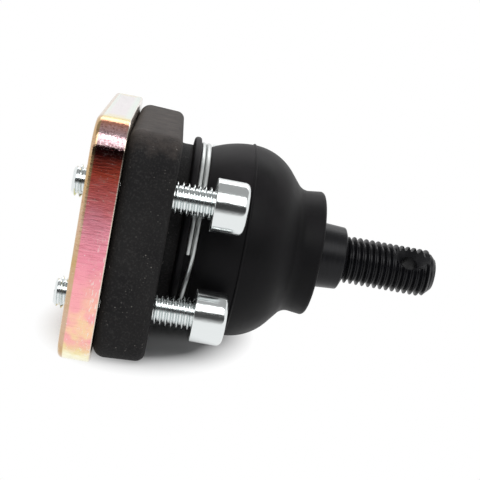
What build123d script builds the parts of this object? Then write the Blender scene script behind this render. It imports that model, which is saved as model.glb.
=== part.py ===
from build123d import *
import math
import os

# Bolt-on ball joint with a clamp plate. Millimetres.
# X runs along the stud, from the clamp face of the flange towards the thread.
# Z is up, and the origin is the middle of the flange's clamp face.

# flange and housing
flange_thick = 9.5
flange_corner = 6.0
flange_parting = 4.5
flange_draft = 4.0
flange_edge = 1.5
flange_back_edge = 2.2
flange_rim_y = 5.0
flange_land = 1.9
neck_r = 17.1
neck_root = 0.7
neck_end = 12.1
groove_r = 14.9
groove_long = 4.9
lip_r = 15.6
lip_long = 1.2
mouth_r = 10.4
mouth_wall = 1.5
mouth_flare = 0.6

# ball, stud
ball_r = 11.0
ball_flat = 0.5
stud_neck_r = 5.0
stud_neck_long = 2.2
flare_rise = 0.3
taper_small_r = 6.3
taper_end = 45.2
taper_long = 14.1
taper_rate = 1 / 8
shoulder_long = 1.0
shoulder_edge = 0.3
undercut_r = 4.3
undercut_long = 0.6
thread_r = 4.88
thread_long = 16.0
stud_chamfer = 1.6
cotter_r = 1.6
cotter_sink_r = 3.3
cotter_to_tip = 5.3
cotter_angle = 52.0

# how far a cutting shape runs past the face it cuts
past = 1.0

# bearing, spring and cap
running = 0.04
fit = 0.05
bearing_wall = 1.6
bearing_reach = 5.8
bearing_back = 1.1
bearing_hole_r = 5.2
spring_thick = 0.9
spring_rise = 0.9
spring_hole_r = 6.5
spring_clear = 0.4
spring_gap = 0.1113
cap_r = 14.2
cap_thick = 2.4
cap_inset = 0.3
cap_chamfer = 0.9

# boot
boot_wall = 1.9
bead_r = 18.85
bead_long = 1.35
bead_crown = 0.5
clip_seat_long = 2.1
clip_seat_deep = 0.35
boot_start_r = 17.3
belly_r = 19.3
belly_x = 24.0
seam_rise = 0.22
seam_wide = 0.6
shoulder_r = 10.8
shoulder_slope = 50.0
nose_waist_r = 12.25
nose_waist_x = 36.3
nose_rim_r = 12.65
nose_end = 39.6
nose_round = 0.7
nose_start = 34.0
throat_lip = 0.5
throat_gap = 1.6
boot_gap = 0.3
sleeve_gap = 0.4
shoulder_start = 27.0

# wire clip
wire_r = 0.48
wire_pitch = 1.02
wire_start = -2.0
wire_crossing = 50.0

# clamp plate and screws
plate_thick = 6.0
plate_over_y = 0.9
plate_over_z = 1.2
plate_corner = 6.5
plate_back_edge = 1.0
plate_front_edge = 0.4
hole_z = 10.3
screw_r = 3.0
screw_long = 25.0
screw_tip = 0.7
head_r = 5.0
head_high = 6.0
head_edge = 0.9
head_to_boot = 0.4455
hex_flats = 5.0
hex_deep = 3.0
screw_stand_off = 7.2
tapped_gap = 0.05
flange_hole_gap = 0.3

# worked-out sizes: the screws stand far enough out for their heads to pass the boot
hole_y = math.sqrt((belly_r + head_r + head_to_boot) ** 2 - hole_z**2)
flange_wide = 2 * (hole_y + flange_rim_y)
flange_high = 2 * (neck_r + neck_root + flange_edge + flange_land)
plate_wide = flange_wide + 2 * plate_over_y
plate_high = flange_high + 2 * plate_over_z
bearing_in_r = ball_r + running
bearing_out_r = bearing_in_r + bearing_wall
seat_r = bearing_out_r + fit
bearing_deep = math.sqrt(bearing_in_r**2 - bearing_hole_r**2) + bearing_back
cap_in_x = cap_inset + cap_thick
spring_end = cap_in_x + fit + spring_rise + spring_thick
bearing_back_x = spring_end + spring_gap
ball_x = bearing_back_x + bearing_deep
mouth_x = ball_x + math.sqrt(seat_r**2 - mouth_r**2)
groove_end = neck_end + groove_long
lip_end = groove_end + lip_long
taper_start = taper_end - taper_long
taper_big_r = taper_small_r + taper_long * taper_rate / 2
neck_join_x = ball_x + math.sqrt(ball_r**2 - stud_neck_r**2)
undercut_x = taper_end + shoulder_long
thread_start = undercut_x + undercut_long
stud_end = thread_start + thread_long + stud_chamfer
bead_end = neck_end + bead_long
clip_seat_end = bead_end + clip_seat_long
clip_seat_r = boot_start_r - clip_seat_deep
wire_mean_r = clip_seat_r + wire_r + fit
screw_head_x = flange_thick + screw_stand_off
screw_places = [(y, z) for y in (-hole_y, hole_y) for z in (hole_z, -hole_z)]


def taper_r(x):
    """Radius of the stud's taper at x."""
    return taper_small_r + (taper_end - x) * taper_rate / 2


def turned(*edges):
    """Solid of revolution about X from a closed outline drawn in X (along) and Y (radius)."""
    return revolve(make_face(Wire(list(edges))), Axis.X)


def turned_points(*points):
    """Solid of revolution about X from straight runs between points."""
    return revolve(make_face(Polyline(*points, close=True)), Axis.X)


def slab(x, thick, wide, high, corner, draft=0):
    """Flat block with rounded corners, standing across X and starting at x, drafted towards its far side."""
    outline = Plane(origin=(x, 0, 0), x_dir=(0, 1, 0), z_dir=(1, 0, 0)) * RectangleRounded(wide, high, corner)
    return extrude(outline, thick, taper=draft)


def rod(x, long, radius, y=0, z=0):
    """Cylinder along X from x."""
    face = Plane(origin=(x, y, z), x_dir=(0, 1, 0), z_dir=(1, 0, 0)) * Circle(radius)
    return extrude(face, long)


def make_housing():
    size = (flange_wide, flange_high, flange_corner)
    flange = slab(0, flange_parting, *size)
    flange += slab(flange_parting, flange_thick - flange_parting, *size, draft=flange_draft)
    flange = fillet(flange.faces().sort_by(Axis.X)[-1].edges(), flange_edge)
    flange = fillet(flange.faces().sort_by(Axis.X)[0].edges(), flange_back_edge)
    mouth_out_r = mouth_r + mouth_wall
    tower = turned_points(
        (0, 0),
        (0, neck_r),
        (neck_end, neck_r),
        (neck_end, groove_r),
        (groove_end, groove_r),
        (groove_end, lip_r),
        (lip_end, lip_r),
        (mouth_x, mouth_out_r),
        (mouth_x, 0),
    )
    body = flange + tower
    roots = [
        e
        for e in body.edges().filter_by(GeomType.CIRCLE)
        if abs(e.center().X - flange_thick) < 0.01 and abs(e.radius - neck_r) < 0.01
    ]
    body = fillet(roots, neck_root)
    cavity = turned(
        Line((-past, 0), (-past, cap_r - cap_chamfer)),
        Line((-past, cap_r - cap_chamfer), (cap_inset, cap_r - cap_chamfer)),
        Line((cap_inset, cap_r - cap_chamfer), (cap_inset + cap_chamfer + fit, cap_r + fit)),
        Line((cap_inset + cap_chamfer + fit, cap_r + fit), (cap_in_x, cap_r + fit)),
        Line((cap_in_x, cap_r + fit), (cap_in_x, seat_r)),
        Line((cap_in_x, seat_r), (ball_x, seat_r)),
        RadiusArc((ball_x, seat_r), (mouth_x, mouth_r), seat_r),
        Line((mouth_x, mouth_r), (mouth_x + past, mouth_r + mouth_flare)),
        Line((mouth_x + past, mouth_r + mouth_flare), (mouth_x + past, 0)),
        Line((mouth_x + past, 0), (-past, 0)),
    )
    body -= cavity
    for y, z in screw_places:
        body -= rod(-past, flange_thick + 2 * past, screw_r + flange_hole_gap, y, z)
    return body


def make_cap():
    x0, x1 = cap_inset, cap_in_x
    rear_r = cap_r - cap_chamfer - fit
    return turned_points((x0, 0), (x0, rear_r), (x0 + cap_chamfer, cap_r), (x1, cap_r), (x1, 0))


def make_spring():
    x0 = cap_in_x + fit
    x1 = x0 + spring_rise
    outer = bearing_out_r - spring_clear
    return turned_points((x0, outer), (x0 + spring_thick, outer), (x1 + spring_thick, spring_hole_r), (x1, spring_hole_r))


def make_bearing_rear():
    end = ball_x - fit
    back = bearing_back_x
    hole_x = back + bearing_back
    end_r = math.sqrt(bearing_in_r**2 - fit**2)
    return turned(
        Line((back, bearing_hole_r), (hole_x, bearing_hole_r)),
        RadiusArc((hole_x, bearing_hole_r), (end, end_r), bearing_in_r),
        Line((end, end_r), (end, bearing_out_r)),
        Line((end, bearing_out_r), (back, bearing_out_r)),
        Line((back, bearing_out_r), (back, bearing_hole_r)),
    )


def make_bearing_front():
    start = ball_x + fit
    end = ball_x + bearing_reach
    near_in, near_out = (math.sqrt(r**2 - fit**2) for r in (bearing_in_r, bearing_out_r))
    far_in, far_out = (math.sqrt(r**2 - bearing_reach**2) for r in (bearing_in_r, bearing_out_r))
    return turned(
        RadiusArc((start, near_in), (end, far_in), bearing_in_r),
        Line((end, far_in), (end, far_out)),
        RadiusArc((end, far_out), (start, near_out), -bearing_out_r),
        Line((start, near_out), (start, near_in)),
    )


def make_stud():
    flat_x = ball_x - ball_r + ball_flat
    flat_r = math.sqrt(ball_r**2 - (ball_r - ball_flat) ** 2)
    neck_end_x = neck_join_x + stud_neck_long
    points = [
        (taper_start, taper_big_r),
        (taper_end, taper_small_r),
        (undercut_x, undercut_r),
        (thread_start, undercut_r),
        (thread_start, thread_r),
        (stud_end - stud_chamfer, thread_r),
        (stud_end, thread_r - stud_chamfer),
        (stud_end, 0),
        (flat_x, 0),
        (flat_x, flat_r),
    ]
    runs = [Line(a, b) for a, b in zip(points, points[1:])]
    body = turned(
        RadiusArc((flat_x, flat_r), (neck_join_x, stud_neck_r), ball_r),
        Line((neck_join_x, stud_neck_r), (neck_end_x, stud_neck_r)),
        Spline((neck_end_x, stud_neck_r), (taper_start, taper_big_r), tangents=[(1, 0), (1, flare_rise)]),
        *runs,
    )
    shoulders = [e for e in body.edges().filter_by(GeomType.CIRCLE) if abs(e.radius - taper_small_r) < 0.01]
    body = fillet(shoulders, shoulder_edge)
    sink_foot = thread_r - (cotter_sink_r - cotter_r)
    sink_top = thread_r + past
    hole = Cylinder(cotter_r, 2 * sink_top)
    for turn in (0, 180):
        sink = Cone(cotter_r, cotter_sink_r + past, sink_top - sink_foot)
        hole += Rot(turn, 0, 0) * Pos(0, 0, (sink_foot + sink_top) / 2) * sink
    return body - Pos(stud_end - cotter_to_tip, 0, 0) * Rot(90 - cotter_angle, 0, 0) * hole


def on_shoulder(radius, angle):
    """Point on an arc about the shoulder's centre, this many degrees round from the seam."""
    turn = math.radians(angle)
    return (belly_x + radius * math.sin(turn), belly_r - shoulder_r + radius * math.cos(turn))


def make_boot():
    """Whole boot, from the bead in the housing's groove to the nose on the taper."""
    in_r = groove_r + fit
    in_end = groove_end - throat_lip / 2
    bead_x = (neck_end + bead_end) / 2
    start = (clip_seat_end, boot_start_r)
    seam = (belly_x, belly_r)
    slope = math.radians(shoulder_slope)
    shoulder = on_shoulder(shoulder_r, shoulder_slope)
    waist = (nose_waist_x, nose_waist_r)
    # radius that takes the shoulder's slope level at the waist
    run, fall = waist[0] - shoulder[0], shoulder[1] - waist[1]
    waist_r = (run * math.sin(slope) - fall * math.cos(slope)) / (1 - math.cos(slope))
    foot = (waist[0] - waist_r * math.sin(slope), waist[1] + waist_r * (1 - math.cos(slope)))
    inner_seam = (belly_x, belly_r - boot_wall)
    inner_r = shoulder_r - boot_wall
    throat = (nose_start, taper_r(nose_start) + throat_gap)
    lip_x = nose_start + throat_lip
    back_r = taper_r(lip_x) + boot_gap
    rim_r = taper_r(nose_end) + boot_gap
    sleeve = (in_end, lip_r + sleeve_gap)
    body = turned(
        Line((neck_end, in_r), (neck_end, bead_r - bead_crown)),
        ThreePointArc((neck_end, bead_r - bead_crown), (bead_x, bead_r), (bead_end, bead_r - bead_crown)),
        Line((bead_end, bead_r - bead_crown), (bead_end, clip_seat_r)),
        Line((bead_end, clip_seat_r), (clip_seat_end, clip_seat_r)),
        Line((clip_seat_end, clip_seat_r), start),
        TangentArc(seam, start, tangent=(-1, 0)),
        ThreePointArc(seam, on_shoulder(shoulder_r, shoulder_slope / 2), shoulder),
        Line(shoulder, foot),
        TangentArc(waist, foot, tangent=(-1, 0)),
        Line(waist, (nose_end, nose_rim_r)),
        Line((nose_end, nose_rim_r), (nose_end, rim_r)),
        Line((nose_end, rim_r), (lip_x, back_r)),
        Line((lip_x, back_r), throat),
        Line(throat, on_shoulder(inner_r, shoulder_slope)),
        ThreePointArc(on_shoulder(inner_r, shoulder_slope), on_shoulder(inner_r, shoulder_slope / 2), inner_seam),
        TangentArc(inner_seam, sleeve, tangent=(-1, 0)),
        Line(sleeve, (in_end, in_r)),
        Line((in_end, in_r), (neck_end, in_r)),
    )
    ridge = turned_points(
        (belly_x - seam_wide / 2, belly_r - seam_rise),
        (belly_x - seam_wide / 2, belly_r),
        (belly_x, belly_r + seam_rise),
        (belly_x + seam_wide / 2, belly_r),
        (belly_x + seam_wide / 2, belly_r - seam_rise),
    )
    body += ridge
    rims = [e for e in body.edges().filter_by(GeomType.CIRCLE) if abs(e.radius - nose_rim_r) < 0.01]
    return fillet(rims, nose_round)


def boot_span(boot, x0, x1):
    """The part of the boot between two stations along X."""
    wide = 3 * belly_r
    return boot & (Pos((x0 + x1) / 2, 0, 0) * Box(x1 - x0, wide, wide))


def make_clip():
    """Round wire bent nearly twice round the boot: two flat turns joined by one slanted crossing."""
    middle = (bead_end + clip_seat_end) / 2
    turns = [Plane(origin=(middle + side * wire_pitch / 2, 0, 0), x_dir=(0, -1, 0), z_dir=(-1, 0, 0)) for side in (-1, 1)]
    along = 360 - wire_crossing
    first = turns[0] * CenterArc((0, 0), wire_mean_r, wire_start, along)
    second = turns[1] * CenterArc((0, 0), wire_mean_r, wire_start, along)
    angle = math.radians(wire_start - wire_crossing / 2)
    half_way = Plane(origin=(middle, 0, 0), x_dir=(0, -1, 0), z_dir=(-1, 0, 0)).from_local_coords(
        Vector(wire_mean_r * math.cos(angle), wire_mean_r * math.sin(angle), 0)
    )
    crossing = Spline(first @ 1, half_way, second @ 0, tangents=[first % 1, second % 0])
    path = Wire([first, crossing, second])
    return sweep(Plane(origin=path @ 0, z_dir=path % 0) * Circle(wire_r), path=path)


def make_plate():
    plate = slab(-plate_thick, plate_thick, plate_wide, plate_high, plate_corner)
    plate = chamfer(plate.faces().sort_by(Axis.X)[0].edges(), plate_back_edge)
    plate = chamfer(plate.faces().sort_by(Axis.X)[-1].edges(), plate_front_edge)
    for y, z in screw_places:
        plate -= rod(-plate_thick - past, plate_thick + 2 * past, screw_r + tapped_gap, y, z)
    return plate


def make_screw(y, z):
    shank = rod(screw_head_x - screw_long, screw_long, screw_r, y, z)
    shank = chamfer(shank.edges().sort_by(Axis.X)[0], screw_tip)
    head = rod(screw_head_x, head_high, head_r, y, z)
    head = fillet(head.edges().sort_by(Axis.X)[-1], head_edge)
    face = Plane(origin=(screw_head_x + head_high, y, z), x_dir=(0, 1, 0), z_dir=(-1, 0, 0))
    socket = extrude(face * RegularPolygon(hex_flats / 2, 6, major_radius=False), hex_deep)
    return shank + head - socket


boot = make_boot()
nodes = {
    "housing": make_housing(),
    "closing_cap": make_cap(),
    "preload_spring": make_spring(),
    "bearing_rear": make_bearing_rear(),
    "bearing_front": make_bearing_front(),
    "ball_stud": make_stud(),
    "boot": boot_span(boot, 0, shoulder_start),
    "boot_shoulder": boot_span(boot, shoulder_start, nose_start),
    "boot_nose": boot_span(boot, nose_start, nose_end + past),
    "clip_wire": make_clip(),
    "clamp_plate": make_plate(),
}
for number, (y, z) in enumerate(screw_places, 1):
    nodes[f"screw_{number}"] = make_screw(y, z)

os.makedirs("parts", exist_ok=True)
for name, solid in nodes.items():
    export_step(solid, f"parts/{name}.step")
    print(name, round(solid.volume, 1))
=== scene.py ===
import bmesh
import bpy
from math import acos, atan, atan2, cos, degrees, hypot, pi, radians, sin, sqrt, tan
from mathutils import Matrix, Vector


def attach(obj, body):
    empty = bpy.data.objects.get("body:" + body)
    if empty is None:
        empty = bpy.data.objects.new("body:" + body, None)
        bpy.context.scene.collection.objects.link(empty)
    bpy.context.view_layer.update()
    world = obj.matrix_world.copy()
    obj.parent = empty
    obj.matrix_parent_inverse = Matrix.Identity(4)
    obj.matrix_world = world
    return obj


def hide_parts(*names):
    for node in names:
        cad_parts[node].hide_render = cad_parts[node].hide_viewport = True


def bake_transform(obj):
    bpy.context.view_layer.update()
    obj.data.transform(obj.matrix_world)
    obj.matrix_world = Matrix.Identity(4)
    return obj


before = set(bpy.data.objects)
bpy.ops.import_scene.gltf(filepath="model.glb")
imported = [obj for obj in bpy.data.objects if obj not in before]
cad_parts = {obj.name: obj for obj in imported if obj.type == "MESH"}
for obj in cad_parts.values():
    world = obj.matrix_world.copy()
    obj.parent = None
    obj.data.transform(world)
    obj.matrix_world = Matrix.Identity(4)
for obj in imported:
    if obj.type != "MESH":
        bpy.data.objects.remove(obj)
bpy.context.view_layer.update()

mm = 0.001
fullTurn = 2 * pi
sharpAngle = 32
# how far a cutting shape runs past the face it cuts, in millimetres
past = 1.0


def hexColour(text):
    # sRGB hex to the linear values that Blender's sockets hold
    channels = [int(text[i:i + 2], 16) / 255 for i in (1, 3, 5)]
    return tuple(c / 12.92 if c <= 0.04045 else ((c + 0.055) / 1.055) ** 2.4 for c in channels) + (1.0,)


def addNode(tree, kind, links=None, sockets=None, **settings):
    # links feed sockets from other nodes, sockets hold constants, settings are the node's own options
    node = tree.nodes.new(kind)
    for name, value in settings.items():
        setattr(node, name, value)
    for name, value in (sockets or {}).items():
        node.inputs[name].default_value = value
    for name, source in (links or {}).items():
        tree.links.new(source, node.inputs[name])
    return node


def objectPlace(tree, stretch=None):
    # Object coordinates in metres, pulled out along an axis where stretch is below 1
    place = addNode(tree, "ShaderNodeTexCoord").outputs["Object"]
    if stretch is None:
        return place
    return addNode(tree, "ShaderNodeMapping", {"Vector": place}, {"Scale": stretch}).outputs["Vector"]


def noise(tree, place, size, detail=3.0, roughness=0.5):
    # noise whose features measure this many millimetres
    sockets = {"Scale": 1 / (size * mm), "Detail": detail, "Roughness": roughness}
    return addNode(tree, "ShaderNodeTexNoise", {"Vector": place}, sockets).outputs["Fac"]


def ramp(tree, factor, stops):
    node = addNode(tree, "ShaderNodeValToRGB", {"Fac": factor})
    elements = node.color_ramp.elements
    while len(elements) < len(stops):
        elements.new(1.0)
    for element, (place, tone) in zip(elements, stops):
        element.position = place
        element.color = hexColour(tone) if isinstance(tone, str) else (tone, tone, tone, 1)
    return node.outputs["Color"]


def spread(tree, value, low, high, toLow=0.0, toHigh=1.0):
    sockets = {"From Min": low, "From Max": high, "To Min": toLow, "To Max": toHigh}
    return addNode(tree, "ShaderNodeMapRange", {"Value": value}, sockets).outputs["Result"]


def combine(tree, operation, first, second):
    node = addNode(tree, "ShaderNodeMath", {0: first}, operation=operation)
    if isinstance(second, (int, float)):
        node.inputs[1].default_value = second
    else:
        tree.links.new(second, node.inputs[1])
    return node.outputs["Value"]


def product(tree, first, second):
    return combine(tree, "MULTIPLY", first, second)


def rise(tree, length, low, high, toLow=0.0, toHigh=1.0):
    # takes a length between low and high millimetres to a share
    return spread(tree, length, low * mm, high * mm, toLow, toHigh)


def distanceFrom(tree, length, middle):
    # how far a length lies from this many millimetres
    return combine(tree, "ABSOLUTE", combine(tree, "SUBTRACT", length, middle * mm), 0.0)


def blendColours(tree, factor, under, over):
    node = addNode(tree, "ShaderNodeMix", {"Factor": factor}, data_type="RGBA")
    for name, tone in (("A", under), ("B", over)):
        # a colour mix has float, vector and colour sockets of the same name
        socket = [s for s in node.inputs if s.name == name and s.type == "RGBA"][0]
        if isinstance(tone, str):
            socket.default_value = hexColour(tone)
        else:
            tree.links.new(tone, socket)
    return [s for s in node.outputs if s.type == "RGBA"][0]


def mark(tree, under, pattern, stops, tone, where=None):
    # lays one tone over another where a pattern shows, and only in one place if where is given
    amount = ramp(tree, pattern, stops)
    if where is not None:
        amount = product(tree, amount, where)
    return blendColours(tree, amount, under, tone)


def bump(tree, shader, height, strength, distance):
    sockets = {"Strength": strength, "Distance": distance * mm}
    node = addNode(tree, "ShaderNodeBump", {"Height": height}, sockets)
    tree.links.new(node.outputs["Normal"], shader.inputs["Normal"])


def newMaterial(name, **sockets):
    material = bpy.data.materials.new(name)
    material.use_nodes = True
    tree = material.node_tree
    shader = tree.nodes["Principled BSDF"]
    for socket, value in sockets.items():
        shader.inputs[socket.replace("_", " ")].default_value = value
    return material, tree, shader


def forgedBlack():
    # black phosphate over a rough forging: dull charcoal, browner and lighter on top, where the lightness is
    # painted light from above, with clusters of pale pin-pricks
    material, tree, shader = newMaterial("forgedSteelBlackPhosphate", Roughness=0.7, Specular_IOR_Level=0.2)
    place = objectPlace(tree)
    height = addNode(tree, "ShaderNodeSeparateXYZ", {"Vector": place}).outputs["Z"]
    # the browner top, lightened as painted light from above, starts at an uneven height
    wander = product(tree, noise(tree, place, 2.5, 5.0, 0.65), 9 * mm)
    brownAndPaintedTopLight = rise(tree, combine(tree, "ADD", height, wander), 22, 29)
    skin = ramp(tree, noise(tree, place, 7.0, 4.0), [(0.35, "#131213"), (0.65, "#1c1b1b")])
    skin = blendColours(tree, brownAndPaintedTopLight, skin, "#544b46")
    skin = mark(tree, skin, noise(tree, place, 0.35, 2.0), [(0.5, 0.0), (0.7, 0.22)], "#4c4a49")
    cells = addNode(tree, "ShaderNodeTexVoronoi", {"Vector": place}, {"Scale": 1 / (0.5 * mm)})
    near = ramp(tree, cells.outputs["Distance"], [(0.12, 1.0), (0.3, 0.0)])
    cluster = ramp(tree, noise(tree, place, 2.6, 3.0), [(0.55, 0.04), (0.7, 1.0)])
    chosen = ramp(tree, noise(tree, place, 0.8, 1.0), [(0.5, 0.0), (0.6, 1.0)])
    pricks = product(tree, product(tree, near, chosen), cluster)
    tree.links.new(blendColours(tree, pricks, skin, "#8a8680"), shader.inputs["Base Color"])
    bump(tree, shader, noise(tree, place, 0.6, 6.0, 0.7), 0.8, 0.15)
    return material


# places on the plate in millimetres; a pair is where something starts and where it is complete
chromate = {
    "halfWide": 28.4, "straight": 15.9, "reach": 51.0,
    # straw and peach low down, rose and coral up the side, a dark and a bright band round the corner, pale on
    # top; the dark maroon band is painted reflection, the bright mauve band a painted highlight, and the cream
    # near the foot painted light
    "bands": {-51: "straw", -24: "cream", -20: "straw", -14: "peach", -3: "rose", 4: "rose", 13: "coral",
              18: "maroon", 21: "mauve", 25: "copper", 28: "straw", 34: "pearl"},
    "tones": {"straw": "#f0e0a0", "cream": "#fffce0", "peach": "#ffccb0", "rose": "#f098a8", "coral": "#f46850",
              "maroon": "#402226", "mauve": "#e0c4ca", "copper": "#dc9478", "pearl": "#e4dadc"},
    "driftHeight": (-4, 12), "driftAmount": (3.0, 0.5),
    "topMiddle": -2.9, "topEdge": (1.2, 2.0), "topReach": (28, 31),
    "lowTop": (-2, -6), "lowFoot": (-20, -17),
    "cornerMiddle": 20.4, "cornerHalf": (4.3, 3.7),
    # the front rim pair places a thin pale painted highlight along the plate's front edge
    "backBevel": (-4.9, -5.1), "backFace": (-5.9, -5.98), "frontRimHighlight": (-0.3, -0.2),
    "sides": (26, 27), "lineHeight": (-8, 10), "dashX": (-3.4, -1), "dashZ": (5, -4), "grainSide": (28.3, 28.0),
}


def yellowZinc():
    # yellow chromate on zinc plate: a thin film that drifts from gold through rose and coral to a dark band,
    # which is painted reflection, with painted highlights laid into its colour as well
    material, tree, shader = newMaterial("steelYellowChromate", Metallic=1.0)
    c = chromate
    place = objectPlace(tree)
    apart = addNode(tree, "ShaderNodeSeparateXYZ", {"Vector": place}).outputs
    # way round the rim: up from the middle of a side, then in along the top
    across = combine(tree, "ABSOLUTE", apart["Y"], 0.0)
    inward = spread(tree, across, c["halfWide"] * mm, 0, 0, c["halfWide"] * mm)
    side = rise(tree, apart["Z"], -c["straight"], c["straight"], -1, 1)
    around = combine(tree, "ADD", apart["Z"], product(tree, inward, side))
    # below the middle the bands break up into blotches
    wander = rise(tree, apart["Z"], *c["driftHeight"], *c["driftAmount"])
    drift = product(tree, spread(tree, noise(tree, place, 4.5, 3.0, 0.6), 0.3, 0.7, -mm, mm), wander)
    reach = c["reach"]
    share = rise(tree, combine(tree, "ADD", around, drift), -reach, reach)
    stops = [((s + reach) / (2 * reach), c["tones"][tone]) for s, tone in c["bands"].items()]
    # the ramp mixes the film's own hues with painted reflection: the dark and bright bands round the corner and
    # the cream near the foot
    filmAndPaintedLight = ramp(tree, share, stops)
    # towards its edges the top turns from rose to pale green
    topEdge = rise(tree, distanceFrom(tree, apart["X"], c["topMiddle"]), *c["topEdge"])
    filmAndPaintedLight = blendColours(tree, product(tree, topEdge, rise(tree, around, *c["topReach"])), filmAndPaintedLight, "#dde9dc")
    filmAndPaintedLight = mark(tree, filmAndPaintedLight, noise(tree, place, 4.0, 4.0, 0.6), [(0.62, 0.0), (0.74, 0.35)], "#c9c7a8")
    # low on the sides rose patches break into the gold
    low = product(tree, rise(tree, apart["Z"], *c["lowTop"]), rise(tree, apart["Z"], *c["lowFoot"]))
    filmAndPaintedLight = mark(tree, filmAndPaintedLight, noise(tree, place, 3.2, 2.0), [(0.42, 0.0), (0.58, 0.8)], "#fcaab4", low)
    # the two bands on the rounded corner, a painted dark reflection and a painted bright highlight, are flecked
    # dark and light
    corner = rise(tree, distanceFrom(tree, around, c["cornerMiddle"]), *c["cornerHalf"])
    flecks = noise(tree, place, 0.32, 2.0)
    filmAndPaintedLight = mark(tree, filmAndPaintedLight, flecks, [(0.36, 0.6), (0.43, 0.0)], "#54282e", corner)
    filmAndPaintedLight = mark(tree, filmAndPaintedLight, flecks, [(0.58, 0.0), (0.65, 0.6)], "#f0ccd2", corner)
    # a tan bevel and a blotchy gold face behind, and a thin pale painted highlight on the rim in front
    bevel = ramp(tree, noise(tree, place, 5.0), [(0.35, "#c9a878"), (0.65, "#d2b49a")])
    filmAndPaintedLight = blendColours(tree, rise(tree, apart["X"], *c["backBevel"]), filmAndPaintedLight, bevel)
    gold = ramp(tree, noise(tree, place, 11.0, 4.0, 0.55), [
        (0.34, "#d8daa4"), (0.45, "#ecd898"), (0.55, "#eec89c"), (0.66, "#e6b4a8")])
    filmAndPaintedLight = blendColours(tree, rise(tree, apart["X"], *c["backFace"]), filmAndPaintedLight, gold)
    filmAndPaintedLight = blendColours(tree, rise(tree, apart["X"], *c["frontRimHighlight"]), filmAndPaintedLight, "#e8dccb")
    # fine lines across the sides, pale dots all over, and worn dashes near the front
    lines = noise(tree, objectPlace(tree, (0.12, 1, 1)), 0.3, 3.0, 0.6)
    upright = product(tree, rise(tree, across, *c["sides"]), rise(tree, apart["Z"], *c["lineHeight"], 0.25, 1))
    filmAndPaintedLight = mark(tree, filmAndPaintedLight, lines, [(0.34, 0.45), (0.46, 0.0)], "#9a3a3c", upright)
    filmAndPaintedLight = mark(tree, filmAndPaintedLight, lines, [(0.58, 0.0), (0.7, 0.3)], "#f4dcd6", upright)
    filmAndPaintedLight = mark(tree, filmAndPaintedLight, noise(tree, place, 0.4, 3.0), [(0.66, 0.0), (0.72, 0.7)], "#f4e6e0")
    worn = product(tree, rise(tree, apart["X"], *c["dashX"]), rise(tree, apart["Z"], *c["dashZ"]))
    dashes = noise(tree, objectPlace(tree, (1, 1, 0.3)), 0.3, 2.0)
    filmAndPaintedLight = mark(tree, filmAndPaintedLight, dashes, [(0.6, 0.0), (0.66, 0.7)], "#f2ece4", worn)
    tree.links.new(filmAndPaintedLight, shader.inputs["Base Color"])
    blotch = noise(tree, place, 0.35, 3.0)
    tree.links.new(spread(tree, blotch, 0.3, 0.7, 0.06, 0.15), shader.inputs["Roughness"])
    grain = product(tree, blotch, rise(tree, across, *c["grainSide"], 0.3, 1.2))
    bump(tree, shader, combine(tree, "ADD", lines, grain), 0.35, 0.05)
    return material


def brightZinc():
    # clear zinc on cold-headed steel: silver with a faint blue cast and a slight orange peel
    material, tree, shader = newMaterial("steelClearZinc", Metallic=1.0, Roughness=0.15)
    shader.inputs["Base Color"].default_value = hexColour("#e6eaea")
    place = objectPlace(tree)
    bump(tree, shader, noise(tree, place, 0.9, 5.0, 0.6), 0.32, 0.06)
    return material


def blackOxide():
    # black oxide on ground steel: near black, with a satin sheen along the turning marks
    material, tree, shader = newMaterial(
        "steelBlackOxide", Metallic=0.2, Roughness=0.36, Specular_IOR_Level=0.26)
    marks = noise(tree, objectPlace(tree, (1, 0.1, 0.1)), 0.3, 4.0)
    tree.links.new(ramp(tree, marks, [(0.3, "#0e0e10"), (0.7, "#19191c")]), shader.inputs["Base Color"])
    bump(tree, shader, marks, 0.2, 0.03)
    return material


def mouldedRubber():
    # chloroprene moulding: near black, with a satin bloom and lighter patches that grow towards the top
    material, tree, shader = newMaterial("chloropreneMoulded", Roughness=0.5, Specular_IOR_Level=0.115)
    place = objectPlace(tree)
    bloom = noise(tree, place, 6.0, 5.0)
    skin = ramp(tree, bloom, [(0.3, "#0a0a0b"), (0.7, "#111012")])
    height = addNode(tree, "ShaderNodeSeparateXYZ", {"Vector": place}).outputs["Z"]
    # lighter in patches, more so towards the top
    lighterUpperPatches = product(tree, rise(tree, height, 4, 19), spread(tree, bloom, 0.35, 0.65, 0.2, 0.8))
    tree.links.new(blendColours(tree, lighterUpperPatches, skin, "#262325"), shader.inputs["Base Color"])
    tree.links.new(spread(tree, bloom, 0.3, 0.7, 0.44, 0.56), shader.inputs["Roughness"])
    bump(tree, shader, noise(tree, place, 0.6), 0.15, 0.05)
    return material


def springWire():
    # drawn spring wire: bright steel, a little duller in patches
    material, tree, shader = newMaterial("springSteelDrawn", Metallic=1.0)
    shader.inputs["Base Color"].default_value = hexColour("#cdd0cf")
    draw = noise(tree, objectPlace(tree), 1.5)
    tree.links.new(spread(tree, draw, 0.3, 0.7, 0.34, 0.46), shader.inputs["Roughness"])
    return material


def acetal():
    # moulded acetal bearing: ivory, waxy
    material, tree, shader = newMaterial("acetalMoulded", Roughness=0.35)
    flow = noise(tree, objectPlace(tree), 5.0)
    tree.links.new(ramp(tree, flow, [(0.3, "#e4dfcf"), (0.7, "#efebdf")]), shader.inputs["Base Color"])
    return material


finish = {
    "black_forging": forgedBlack(),
    "yellow_zinc": yellowZinc(),
    "bright_zinc": brightZinc(),
    "dark_steel": blackOxide(),
    "boot_rubber": mouldedRubber(),
    "spring_steel": springWire(),
    "bearing_plastic": acetal(),
}
print("materials", len(finish))


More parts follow.
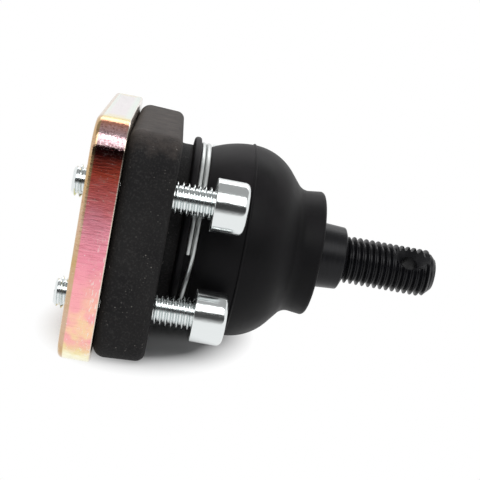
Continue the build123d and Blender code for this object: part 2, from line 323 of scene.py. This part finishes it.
def arc(centre, radius, start, end, steps):
    # points on a circle in the (x, radius) outline plane, angles in degrees from the X axis
    x, y = centre
    angles = [radians(start + (end - start) * i / steps) for i in range(steps + 1)]
    return [(x + radius * cos(a), y + radius * sin(a)) for a in angles]


def rounded(points, radii, segments=5):
    # polyline with the named corners rounded; radii maps a point's number to its radius
    out = []
    for i, here in enumerate(points):
        radius = radii.get(i, 0)
        if not radius:
            out.append(here)
            continue
        corner = Vector(here)
        back = (Vector(points[i - 1]) - corner).normalized()
        ahead = (Vector(points[(i + 1) % len(points)]) - corner).normalized()
        half = back.angle(ahead) / 2
        centre = corner + (back + ahead).normalized() * (radius / sin(half))
        first = corner + back * (radius / tan(half)) - centre
        last = corner + ahead * (radius / tan(half)) - centre
        sweep = first.angle_signed(last)
        for step in range(segments + 1):
            turned = first.copy()
            turned.rotate(Matrix.Rotation(-sweep * step / segments, 2))
            out.append(tuple(centre + turned))
    return out


def lathe(profile, steps=128):
    # spins an (x, radius) outline in millimetres about the stud's axis
    bm = bmesh.new()
    verts = [bm.verts.new((x * mm, -r * mm, 0)) for x, r in profile]
    edges = [bm.edges.new(pair) for pair in zip(verts, verts[1:])]
    bmesh.ops.spin(bm, geom=verts + edges, cent=(0, 0, 0), axis=(1, 0, 0), angle=fullTurn,
                   steps=steps, use_merge=True)
    bmesh.ops.remove_doubles(bm, verts=bm.verts, dist=1e-7)
    return bm


def cylinderAlongX(x0, x1, radius, y=0, z=0, steps=48):
    bm = bmesh.new()
    turn = Matrix.Translation(((x0 + x1) / 2 * mm, y * mm, z * mm)) @ Matrix.Rotation(pi / 2, 4, "Y")
    bmesh.ops.create_cone(bm, cap_ends=True, segments=steps, radius1=radius * mm, radius2=radius * mm,
                          depth=(x1 - x0) * mm, matrix=turn)
    return bm


def shade(mesh):
    mesh.polygons.foreach_set("use_smooth", [True] * len(mesh.polygons))
    mesh.set_sharp_from_angle(angle=radians(sharpAngle))


def addPiece(bm, name):
    mesh = bpy.data.meshes.new(name)
    bm.to_mesh(mesh)
    bm.free()
    shade(mesh)
    piece = bpy.data.objects.new(name, mesh)
    bpy.context.scene.collection.objects.link(piece)
    return piece


def toObject(bm, name):
    bmesh.ops.recalc_face_normals(bm, faces=bm.faces)
    return addPiece(bm, name)


def carve(piece, *cutters):
    for number, bm in enumerate(cutters):
        cutter = toObject(bm, "cutter%d" % number)
        cut = piece.modifiers.new("cut", "BOOLEAN")
        cut.object = cutter
        cut.operation = "DIFFERENCE"
        cut.solver = "EXACT"
        mesh = bpy.data.meshes.new_from_object(piece.evaluated_get(bpy.context.evaluated_depsgraph_get()))
        piece.modifiers.clear()
        old = piece.data
        piece.data = mesh
        bpy.data.meshes.remove(old)
        bpy.data.objects.remove(cutter)
    shade(piece.data)
    return piece


def dress(piece, slotName, body=None, *nodes):
    piece.data.materials.clear()
    piece.data.materials.append(finish[slotName])
    if body:
        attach(piece, body)
    if nodes:
        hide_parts(*nodes)
    return piece


def slabAcrossX(x0, x1, wide, high, corner, lowEdge, highEdge):
    # block with rounded corners; lowEdge and highEdge are the (size, segments) of its low-X and high-X rims
    bm = bmesh.new()
    size = Matrix.Diagonal(((x1 - x0) * mm, wide * mm, high * mm, 1))
    bmesh.ops.create_cube(bm, size=1, matrix=Matrix.Translation(((x0 + x1) / 2 * mm, 0, 0)) @ size)
    along = [e for e in bm.edges if abs(e.verts[0].co.x - e.verts[1].co.x) > 1e-5]
    bmesh.ops.bevel(bm, geom=along, offset=corner * mm, offset_type="OFFSET", segments=16, profile=0.5,
                    affect="EDGES", material=-1)
    for x, (reach, segments) in ((x0, lowEdge), (x1, highEdge)):
        rim = [e for e in bm.edges if all(abs(v.co.x - x * mm) < 1e-6 for v in e.verts)]
        bmesh.ops.bevel(bm, geom=rim, offset=reach * mm, offset_type="OFFSET", segments=segments, profile=0.5,
                        affect="EDGES", material=-1)
    return bm


def threaded(x0, x1, majorR, pitch, lowChamfer=0, highChamfer=0, steps=56):
    # one pitch of 60 degree thread wound along X, cut square at both ends, chamfered and capped
    depth = 0.6134 * pitch
    rootR = majorR - depth
    run = [(0, rootR), (2 / 16, rootR), (4.5 / 16, rootR + depth / 2), (7 / 16, majorR), (9 / 16, majorR),
           (11.5 / 16, rootR + depth / 2), (14 / 16, rootR), (1, rootR)]
    turns = int((x1 - x0) / pitch) + 3
    bm = bmesh.new()
    verts = [bm.verts.new(((x0 - 2 * pitch + s * pitch) * mm, -r * mm, 0)) for s, r in run]
    edges = [bm.edges.new(pair) for pair in zip(verts, verts[1:])]
    bmesh.ops.spin(bm, geom=verts + edges, cent=(0, 0, 0), axis=(1, 0, 0), dvec=(pitch * mm / steps, 0, 0),
                   angle=fullTurn * turns, steps=steps * turns)
    bmesh.ops.remove_doubles(bm, verts=bm.verts, dist=2e-6)
    for v in bm.verts:
        x = v.co.x / mm
        limit = majorR
        if lowChamfer:
            limit = min(limit, majorR - lowChamfer + max(x - x0, 0))
        if highChamfer:
            limit = min(limit, majorR - highChamfer + max(x1 - x, 0))
        radius = hypot(v.co.y, v.co.z) / mm
        if radius > limit:
            v.co.y *= limit / radius
            v.co.z *= limit / radius
    for x, side in ((x0, -1), (x1, 1)):
        bmesh.ops.bisect_plane(bm, geom=bm.verts[:] + bm.edges[:] + bm.faces[:], dist=1e-7,
                               plane_co=(x * mm, 0, 0), plane_no=(side, 0, 0), clear_outer=True)
        rim = [e for e in bm.edges if e.is_boundary and all(abs(v.co.x - x * mm) < 1e-6 for v in e.verts)]
        bmesh.ops.holes_fill(bm, edges=rim)
    return bm


housing = {
    "flange": {"thick": 9.5, "wide": 55.0, "high": 42.4, "corner": 6.0, "frontEdge": 1.5, "backEdge": 2.2,
               "parting": 4.5, "draft": 4.0},
    "neck": 17.1, "root": 0.7, "neckEdge": 0.4, "skin": 0.02, "coreIn": 0.6, "neckEnd": 12.1,
    "groove": 14.9, "grooveEnd": 17.0, "lip": 15.6, "lipEnd": 18.2,
    "mouthX": 22.75, "mouth": 10.4, "mouthWall": 1.5, "seat": 12.69, "ballX": 15.5,
    "capR": 14.25, "capMouth": 13.35, "capInset": 0.3, "capBevel": 1.0, "capEnd": 2.7,
    "overlap": 0.3, "overlapOut": 0.5,
    "holeR": 3.3, "holes": [(y, z) for y in (-22.5, 22.5) for z in (10.3, -10.3)],
}


def buildHousing():
    h = housing
    f = h["flange"]
    slab = slabAcrossX(0, f["thick"], f["wide"], f["high"], f["corner"],
                       (f["backEdge"], 7), (f["frontEdge"], 5))
    for v in slab.verts:
        inset = max(v.co.x / mm - f["parting"], 0) * tan(radians(f["draft"]))
        v.co.y *= 1 - 2 * inset / f["wide"]
        v.co.z *= 1 - 2 * inset / f["high"]
    flange = toObject(slab, "flange")
    core = cylinderAlongX(-past, f["thick"] + past, h["neck"] - h["coreIn"], steps=96)
    carve(flange, core, *[cylinderAlongX(-past, f["thick"] + past, h["holeR"], y, z) for y, z in h["holes"]])
    dress(flange, "black_forging", "housing", "housing")
    rootR = h["neck"] + h["root"] + h["overlapOut"]
    sunk = f["thick"] - h["overlap"]
    face = f["thick"] + h["skin"]
    outside = rounded([
        (sunk, rootR), (face, rootR), (face, h["neck"]), (h["neckEnd"], h["neck"]),
        (h["neckEnd"], h["groove"]), (h["grooveEnd"], h["groove"]), (h["grooveEnd"], h["lip"]),
        (h["lipEnd"], h["lip"]), (h["mouthX"], h["mouth"] + h["mouthWall"]), (h["mouthX"], h["mouth"]),
    ], {2: h["root"], 3: h["neckEdge"]})
    mouthAngle = degrees(acos((h["mouthX"] - h["ballX"]) / h["seat"]))
    seat = arc((h["ballX"], 0), h["seat"], mouthAngle, 90, 12)
    inside = [
        (h["capEnd"], h["seat"]), (h["capEnd"], h["capR"]), (h["capInset"] + h["capBevel"], h["capR"]),
        (h["capInset"], h["capMouth"]), (0, h["capMouth"]), (0, h["neck"] - h["overlap"]),
        (sunk, h["neck"] - h["overlap"]), (sunk, rootR),
    ]
    neck = toObject(lathe(outside + seat + inside), "neck")
    dress(neck, "black_forging", "housing")


buildHousing()
print("housing built")


plate = {
    "thick": 6.0, "wide": 56.8, "high": 44.8, "corner": 6.5, "backEdge": 1.0, "frontEdge": 0.4, "holeR": 3.05,
}


def buildPlate():
    p = plate
    slab = slabAcrossX(-p["thick"], 0, p["wide"], p["high"], p["corner"],
                       (p["backEdge"], 4), (p["frontEdge"], 2))
    piece = toObject(slab, "clampPlate")
    carve(piece, *[cylinderAlongX(-p["thick"] - past, past, p["holeR"], y, z) for y, z in housing["holes"]])
    dress(piece, "yellow_zinc", "plate", "clamp_plate")


buildPlate()
print("clamp plate built")


screw = {
    "head": 4.9, "headHigh": 6.0, "headX": 16.7, "headEdge": 1.0, "headFoot": 0.25, "long": 25.0, "tip": 0.8,
    "major": 2.95, "pitch": 1.0, "socket": 5.0, "socketDeep": 3.0, "shankIn": 0.1, "turnEach": 37,
}


def buildScrew(number, y, z):
    s = screw
    top = s["headX"] + s["headHigh"]
    outline = rounded([(s["headX"], 0), (s["headX"], s["head"]), (top, s["head"]), (top, 0)],
                      {1: s["headFoot"], 2: s["headEdge"]}, 6)
    head = toObject(lathe(outline, 72), "head")
    key = bmesh.new()
    cornerR = s["socket"] / sqrt(3) * mm
    deep = s["socketDeep"] + past
    seat = Matrix.Translation(((top + past - deep / 2) * mm, 0, 0)) @ Matrix.Rotation(pi / 2, 4, "Y")
    bmesh.ops.create_cone(key, cap_ends=True, segments=6, radius1=cornerR, radius2=cornerR, depth=deep * mm,
                          matrix=seat)
    carve(head, key)
    winding = threaded(s["headX"] - s["long"], s["headX"] + s["shankIn"], s["major"], s["pitch"], s["tip"], 0, 40)
    shank = toObject(winding, "shank")
    bm = bmesh.new()
    for part in (head, shank):
        bm.from_mesh(part.data)
        bpy.data.objects.remove(part)
    turn = Matrix.Rotation(radians(s["turnEach"] * number), 3, "X")
    bmesh.ops.rotate(bm, verts=bm.verts, cent=(0, 0, 0), matrix=turn)
    bmesh.ops.translate(bm, verts=bm.verts, vec=(0, y * mm, z * mm))
    piece = addPiece(bm, "clampScrew%d" % number)
    dress(piece, "bright_zinc", "screw_%d" % number, "screw_%d" % number)


for number, (y, z) in enumerate(housing["holes"], 1):
    buildScrew(number, y, z)
print("screws built")


stud = {
    "ballX": 15.5, "ball": 11.0, "flat": 0.5, "neck": 5.0, "neckEnd": 27.5, "taperStart": 31.1, "taperBig": 7.18,
    "taperEnd": 45.2, "taperSmall": 6.3, "shoulderEnd": 46.2, "root": 4.1, "threadStart": 46.0, "threadEnd": 64.4,
    "major": 4.78, "pitch": 1.25, "chamfer": 1.6, "runIn": 0.5,
    "holeX": 59.1, "holeR": 1.6, "sinkR": 4.0, "holeAngle": 52.0,
    "stub": 0.5, "rounds": {1: 2.5, 2: 1.2, 3: 0.35, 4: 0.2},
}


def buildStud():
    s = stud
    flatAngle = degrees(acos((s["flat"] - s["ball"]) / s["ball"]))
    neckAngle = degrees(atan2(s["neck"], sqrt(s["ball"] ** 2 - s["neck"] ** 2)))
    ball = arc((s["ballX"], 0), s["ball"], flatAngle, neckAngle, 24)
    stubEnd = s["shoulderEnd"] + s["stub"]
    shank = rounded([
        ball[-1], (s["neckEnd"], s["neck"]), (s["taperStart"], s["taperBig"]),
        (s["taperEnd"], s["taperSmall"]),
        (s["shoulderEnd"], s["root"]), (stubEnd, s["root"]),
    ], s["rounds"], 6)[1:]
    body = toObject(lathe([(ball[0][0], 0)] + ball + shank + [(stubEnd, 0)]), "studShank")
    dress(body, "dark_steel", "stud", "ball_stud")
    winding = threaded(s["threadStart"], s["threadEnd"], s["major"], s["pitch"], s["runIn"], s["chamfer"])
    thread = toObject(winding, "studThread")
    # the cross hole and its two countersinks, turned as one shape
    foot = s["major"] - (s["sinkR"] - s["holeR"])
    clear = s["major"] + past
    wide = s["sinkR"] + past
    hole = lathe([(-clear, 0), (-clear, wide), (-foot, s["holeR"]),
                  (foot, s["holeR"]), (clear, wide), (clear, 0)], 48)
    place = (Matrix.Translation((s["holeX"] * mm, 0, 0))
             @ Matrix.Rotation(radians(90 - s["holeAngle"]), 4, "X") @ Matrix.Rotation(-pi / 2, 4, "Y"))
    bmesh.ops.transform(hole, matrix=place, verts=hole.verts)
    carve(thread, hole)
    dress(thread, "dark_steel", "stud")


buildStud()
print("ball stud built")


boot = {
    "beadStart": 12.1, "beadEnd": 13.45, "bead": 18.85, "beadRound": 0.55,
    "clipSeat": 16.95, "seatEdge": 0.1, "start": (15.55, 17.3),
    "inner": 14.95, "innerEnd": 16.85, "sleeve": 16.0, "wall": 1.9,
    "seamX": 24.0, "belly": 19.3, "ridge": 0.22, "ridgeHalf": 0.3, "ridgeFlat": 0.08,
    "shoulder": 10.8, "slope": 50.0, "split": 27.0, "waist": (36.3, 12.25),
    "rim": (39.6, 12.65), "rimRound": 0.7, "rimBore": 6.95, "boreEdge": 0.3,
    "throat": (34.0, 8.6), "throatLip": (34.5, 7.27),
    "bendStart": 15.6, "bendEnd": 34.6,
}


def buildBoot():
    b = boot
    slope = radians(b["slope"])
    centre = (b["seamX"], b["belly"] - b["shoulder"])
    splitAngle = degrees(acos((b["split"] - b["seamX"]) / b["shoulder"]))
    fullAngle = 90 - b["slope"]
    # the belly is an arc level at the seam, and the waist an arc that takes up the shoulder's slope
    startX, startR = b["start"]
    drop = b["belly"] - startR
    bellyR = ((b["seamX"] - startX) ** 2 + drop ** 2) / (2 * drop)
    startAngle = degrees(atan2(bellyR - drop, startX - b["seamX"]))
    shoulderEnd = arc(centre, b["shoulder"], fullAngle, fullAngle, 1)[0]
    run, fall = b["waist"][0] - shoulderEnd[0], shoulderEnd[1] - b["waist"][1]
    waistR = (run * sin(slope) - fall * cos(slope)) / (1 - cos(slope))
    half = degrees(b["ridgeHalf"] / b["shoulder"])
    halfBelly = degrees(b["ridgeHalf"] / bellyR)
    belly = arc((b["seamX"], b["belly"] - bellyR), bellyR, startAngle, 90 + halfBelly, 14)
    crest = [(b["seamX"] + side * b["ridgeFlat"], b["belly"] + b["ridge"]) for side in (-1, 1)]
    toSplit = arc(centre, b["shoulder"], 90 - half, splitAngle, 5)
    collar = rounded([
        (b["beadStart"], b["inner"]), (b["beadStart"], b["bead"]), (b["beadEnd"], b["bead"]),
        (b["beadEnd"], b["clipSeat"]), (startX, b["clipSeat"]), b["start"],
    ], {1: b["beadRound"], 2: b["beadRound"], 4: b["seatEdge"]})
    innerR = b["shoulder"] - b["wall"]
    innerSplit = degrees(acos((b["split"] - b["seamX"]) / innerR))
    lining = arc(centre, innerR, innerSplit, 90, 4) + [
        (b["innerEnd"], b["sleeve"]), (b["innerEnd"], b["inner"]), (b["beadStart"], b["inner"])]
    base = toObject(lathe(collar + belly[1:] + crest + toSplit + lining, 160), "bootBase")
    dress(base, "boot_rubber", None, "boot")
    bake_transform(base)
    shoulder = arc(centre, b["shoulder"], splitAngle, fullAngle, 10)
    waist = arc((b["waist"][0], b["waist"][1] + waistR), waistR, -90 - b["slope"], -90, 8)
    rim = rounded([b["waist"], b["rim"], (b["rim"][0], b["rimBore"]), b["throatLip"], b["throat"]],
                  {1: b["rimRound"], 2: b["boreEdge"]}, 6)[1:]
    inside = arc(centre, innerR, fullAngle, innerSplit, 6)
    nose = toObject(lathe(shoulder + waist + rim + inside + [shoulder[0]], 160), "bootNose")
    dress(nose, "boot_rubber", None, "boot_shoulder", "boot_nose")
    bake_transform(nose)


buildBoot()
print("boot built")


clip = {"wire": 0.48, "mean": 17.48, "middle": 14.5, "pitch": 1.02, "start": -2.0, "crossing": 50.0}


def buildClip():
    # two flat turns of wire joined by one slanted crossing
    c = clip
    along = 360 - c["crossing"]
    bm = bmesh.new()
    bmesh.ops.create_circle(bm, cap_ends=True, segments=16, radius=c["wire"] * mm)
    place = Matrix.Rotation(-radians(c["start"]), 4, "X") @ Matrix.Translation(
        ((c["middle"] - c["pitch"] / 2) * mm, -c["mean"] * mm, 0))
    bmesh.ops.transform(bm, matrix=place, verts=bm.verts)
    geom = bm.faces[:] + bm.edges[:] + bm.verts[:]
    for angle, steps, shift in ((along, 90, 0.0), (c["crossing"], 20, c["pitch"]), (along, 90, 0.0)):
        spun = bmesh.ops.spin(bm, geom=geom, cent=(0, 0, 0), axis=(-1, 0, 0), angle=radians(angle),
                              steps=steps, dvec=(shift * mm / steps, 0, 0))
        geom = spun["geom_last"]
    bmesh.ops.remove_doubles(bm, verts=bm.verts, dist=1e-7)
    dress(toObject(bm, "wireClip"), "spring_steel", "housing", "clip_wire")


buildClip()
print("clip built")


# the pieces inside keep their solids and only get a finish
for node, slotName in (("closing_cap", "dark_steel"), ("preload_spring", "spring_steel"),
                       ("bearing_rear", "bearing_plastic"), ("bearing_front", "bearing_plastic")):
    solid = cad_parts[node]
    solid.data.materials.clear()
    solid.data.materials.append(finish[slotName])
print("inner pieces finished")


# the paper pair is the table's colour inside the oval, darker there as painted shadow, and outside it
table = {
    "plateX": -5.0, "plateZ": -22.4, "bootX": 24.0, "bootZ": -19.52, "radius": 600.0, "under": 0.05,
    "shadowAt": 9.0, "shadowHalf": (17.0, 23.0), "fade": (0.8, 1.3), "paperAndPaintedShadow": (0.6, 0.93),
}
room = {
    "world": 0.56, "skyTint": (0.95, 0.97, 1, 1),
    "dark": {"centre": (20, -118, 20), "size": (420, 84), "target": (20, 0, 18), "tones": (
        (0.0, 0.85), (0.1, 0.6), (0.2, 0.36), (0.29, 0.24), (0.36, 0.06), (1.0, 0.02))},
    "ceiling": {"centre": (20, -2, 300), "size": (700, 325), "target": (20, 0, 0), "tones": (
        (0.0, 0.4), (1.0, 0.4))},
}
lamps = {
    "softboxFront": {"place": (20, -350, 350), "size": (600, 306), "power": 1.1},
    "softboxBack": {"place": (60, 260, 420), "size": (500, 300), "power": 0.8},
}
lampTarget = (20, 0, 0)


def emptyTree(holder):
    holder.use_nodes = True
    holder.node_tree.nodes.clear()
    return holder.node_tree


def raysThatSee(tree):
    # 1 where a thing is seen directly, through glass or in a mirror
    path = addNode(tree, "ShaderNodeLightPath").outputs
    seen = combine(tree, "MAXIMUM", path["Is Camera Ray"], path["Is Transmission Ray"])
    return combine(tree, "MAXIMUM", seen, path["Is Glossy Ray"])


def buildFloor():
    # the part rests on the plate's lower edge and the boot; the table shows white away from its shadow
    t = table
    slope = atan((t["bootZ"] - t["plateZ"]) / (t["bootX"] - t["plateX"]))
    level = t["plateZ"] - t["plateX"] * tan(slope) - t["under"]
    bm = bmesh.new()
    bmesh.ops.create_circle(bm, cap_ends=True, segments=96, radius=t["radius"] * mm)
    bmesh.ops.rotate(bm, verts=bm.verts, cent=(0, 0, 0), matrix=Matrix.Rotation(-slope, 3, "Y"))
    bmesh.ops.translate(bm, verts=bm.verts, vec=(0, 0, level * mm))
    floor = toObject(bm, "floor")
    # one open face can come out turned down, and its back is clear
    if floor.data.polygons[0].normal.z < 0:
        floor.data.flip_normals()
    material = bpy.data.materials.new("paleTable")
    tree = emptyTree(material)
    # an oval about the foot of the part, 1 at its edge
    halfX, halfY = (half * mm for half in t["shadowHalf"])
    oval = addNode(tree, "ShaderNodeMapping", {"Vector": objectPlace(tree)}, {
        "Location": (-t["shadowAt"] * mm / halfX, 0, 0), "Scale": (1 / halfX, 1 / halfY, 0)})
    away = addNode(tree, "ShaderNodeVectorMath", {0: oval.outputs["Vector"]}, operation="LENGTH")
    fade = spread(tree, away.outputs["Value"], *t["fade"])
    # inside the oval the table's colour is darker: painted shadow that deepens the rendered one
    paperAndPaintedShadow = addNode(tree, "ShaderNodeBsdfDiffuse", {"Color": spread(tree, fade, 0, 1, *t["paperAndPaintedShadow"])})
    glow = addNode(tree, "ShaderNodeEmission")
    white = product(tree, fade, raysThatSee(tree))
    lit = addNode(tree, "ShaderNodeMixShader", {0: white, 1: paperAndPaintedShadow.outputs[0], 2: glow.outputs[0]})
    clear = addNode(tree, "ShaderNodeBsdfTransparent")
    below = addNode(tree, "ShaderNodeNewGeometry").outputs["Backfacing"]
    surface = addNode(tree, "ShaderNodeMixShader", {0: below, 1: lit.outputs[0], 2: clear.outputs[0]})
    addNode(tree, "ShaderNodeOutputMaterial", {"Surface": surface.outputs[0]})
    floor.data.materials.append(material)


def buildWorld():
    # white wherever it is seen directly, mirrored or through glass, and softer as a light
    world = bpy.data.worlds.new("paleRoom")
    bpy.context.scene.world = world
    tree = emptyTree(world)
    white = addNode(tree, "ShaderNodeBackground", sockets={"Color": (1, 1, 1, 1)})
    soft = addNode(tree, "ShaderNodeBackground", sockets={"Color": room["skyTint"], "Strength": room["world"]})
    mixed = addNode(tree, "ShaderNodeMixShader", {0: raysThatSee(tree), 1: soft.outputs[0], 2: white.outputs[0]})
    addNode(tree, "ShaderNodeOutputWorld", {"Surface": mixed.outputs[0]})


def aim(thing, place, target):
    direction = Vector(target) - Vector(place)
    turn = direction.to_track_quat("-Z", "Y").to_matrix().to_4x4()
    thing.matrix_world = Matrix.Translation(Vector(place) * mm) @ turn


def addCard(name):
    # a board that only mirrored rays meet, so it shapes the highlights and sheds no light
    spec = room[name]
    wide, high = (length * mm for length in spec["size"])
    bm = bmesh.new()
    bmesh.ops.create_grid(bm, x_segments=1, y_segments=1, size=0.5, matrix=Matrix.Diagonal((wide, high, 1, 1)))
    card = toObject(bm, name + "Card")
    aim(card, spec["centre"], spec["target"])
    material = bpy.data.materials.new(name + "Board")
    tree = emptyTree(material)
    up = addNode(tree, "ShaderNodeSeparateXYZ", {"Vector": objectPlace(tree)}).outputs["Y"]
    share = spread(tree, up, -high / 2, high / 2)
    glow = addNode(tree, "ShaderNodeEmission", {"Color": ramp(tree, share, spec["tones"])})
    addNode(tree, "ShaderNodeOutputMaterial", {"Surface": glow.outputs[0]})
    card.data.materials.append(material)
    for ray in ("camera", "diffuse", "transmission", "shadow", "volume_scatter"):
        setattr(card, "visible_" + ray, False)


def addLamp(name):
    spec = lamps[name]
    lamp = bpy.data.lights.new(name, "AREA")
    lamp.shape = "RECTANGLE"
    lamp.size, lamp.size_y = (length * mm for length in spec["size"])
    lamp.energy = spec["power"]
    holder = bpy.data.objects.new(name, lamp)
    bpy.context.scene.collection.objects.link(holder)
    aim(holder, spec["place"], lampTarget)


camera = {
    "yaw": -0.09, "pitch": 0.21, "roll": 0.1975, "distance": 210.0, "target": (24.6, 0, 0.05),
    "lens": 78.3, "sensor": 36, "nearest": 10,
}


def placeCamera():
    c = camera
    turn = Matrix.Rotation(c["yaw"], 3, "Z")
    right, up, back = turn @ Vector((1, 0, 0)), Vector((0, 0, 1)), turn @ Vector((0, -1, 0))
    tiltedBack = back * cos(c["pitch"]) + up * sin(c["pitch"])
    tiltedUp = up * cos(c["pitch"]) - back * sin(c["pitch"])
    axisX = right * cos(c["roll"]) + tiltedUp * sin(c["roll"])
    axisY = tiltedUp * cos(c["roll"]) - right * sin(c["roll"])
    data = bpy.data.cameras.new("camera")
    data.sensor_width = c["sensor"]
    data.lens = c["lens"]
    data.clip_start = c["nearest"] * mm
    holder = bpy.data.objects.new("camera", data)
    bpy.context.scene.collection.objects.link(holder)
    place = (Vector(c["target"]) + tiltedBack * c["distance"]) * mm
    holder.matrix_world = Matrix.Translation(place) @ Matrix((axisX, axisY, tiltedBack)).transposed().to_4x4()
    bpy.context.scene.camera = holder


buildFloor()
buildWorld()
addCard("dark")
addCard("ceiling")
addLamp("softboxFront")
addLamp("softboxBack")
placeCamera()
bpy.context.scene.view_settings.view_transform = "Standard"
print("stage set")
